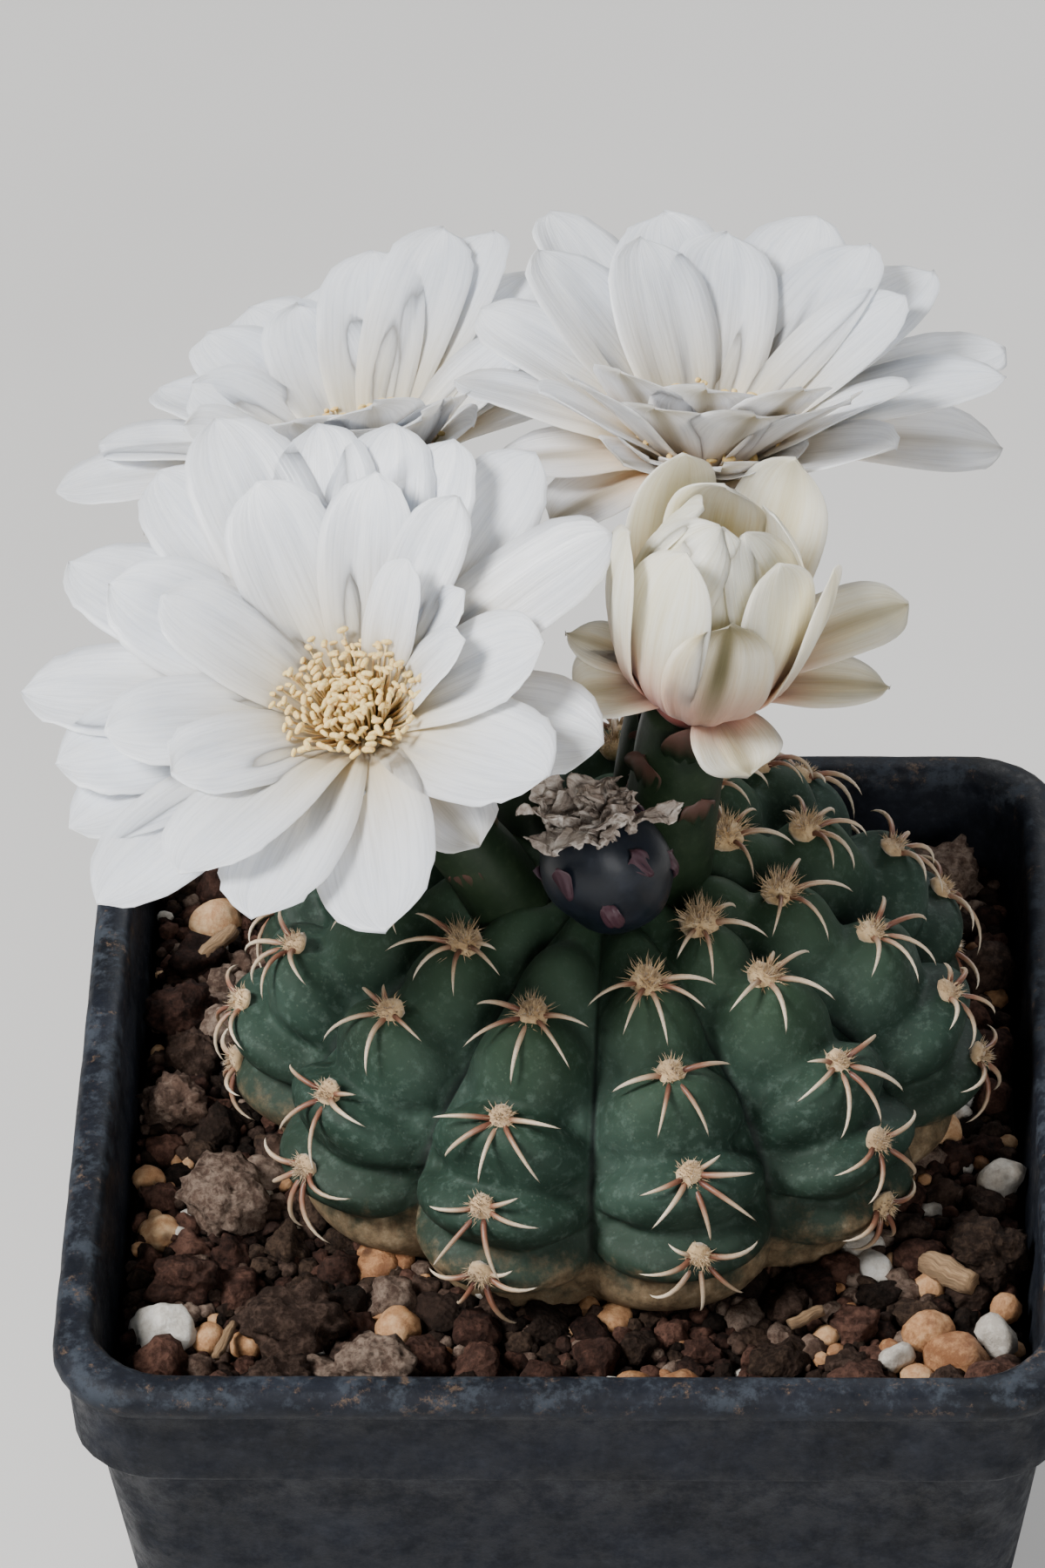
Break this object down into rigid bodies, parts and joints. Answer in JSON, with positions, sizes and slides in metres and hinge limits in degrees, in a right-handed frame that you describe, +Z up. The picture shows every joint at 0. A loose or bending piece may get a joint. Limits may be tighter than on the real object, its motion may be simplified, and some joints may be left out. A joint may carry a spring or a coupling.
{
  "type": "potted chin cactus in flower",
  "caption": "Flattened ribbed cactus with woolly areoles and curved spines, white blooms on scaly tubes and a fruit, growing in grit in a square nursery pot.",
  "frame": {"origin": "centre of the pot's flat base", "axes": "+Z up, -Y towards the side the front bloom leans to, X along the pot's side"},
  "size_m": [0.0932, 0.1033, 0.1456],
  "materials": {
    "pot_plastic": "weathered matte, with lime crust on the lip",
    "grit": "rough mixed mineral grit",
    "stem_green": "living skin, blue-green and dull",
    "tube_green": "living skin, smooth with a low sheen",
    "petal_white": "thin living tissue, silky",
    "petal_cream": "thin living tissue, silky",
    "stamen_yellow": "dusty with pollen",
    "fruit_skin": "living skin, glossy",
    "dried_petals": "dry and crumpled"
  },
  "bodies": {
    "root": {"pot": "pot_plastic", "soil": "grit", "stem": "stem_green", "front_bloom_tube": "tube_green", "front_bloom_petals": "petal_white", "front_bloom_stamens": "stamen_yellow", "back_bloom_tube": "tube_green", "back_bloom_petals": "petal_white", "back_bloom_stamens": "stamen_yellow", "tall_bloom_tube": "tube_green", "tall_bloom_petals": "petal_white", "tall_bloom_stamens": "stamen_yellow", "opening_bud_tube": "tube_green", "opening_bud_petals": "petal_cream", "fruit": "fruit_skin", "dried_flower": "dried_petals"}
  },
  "joints": []
}
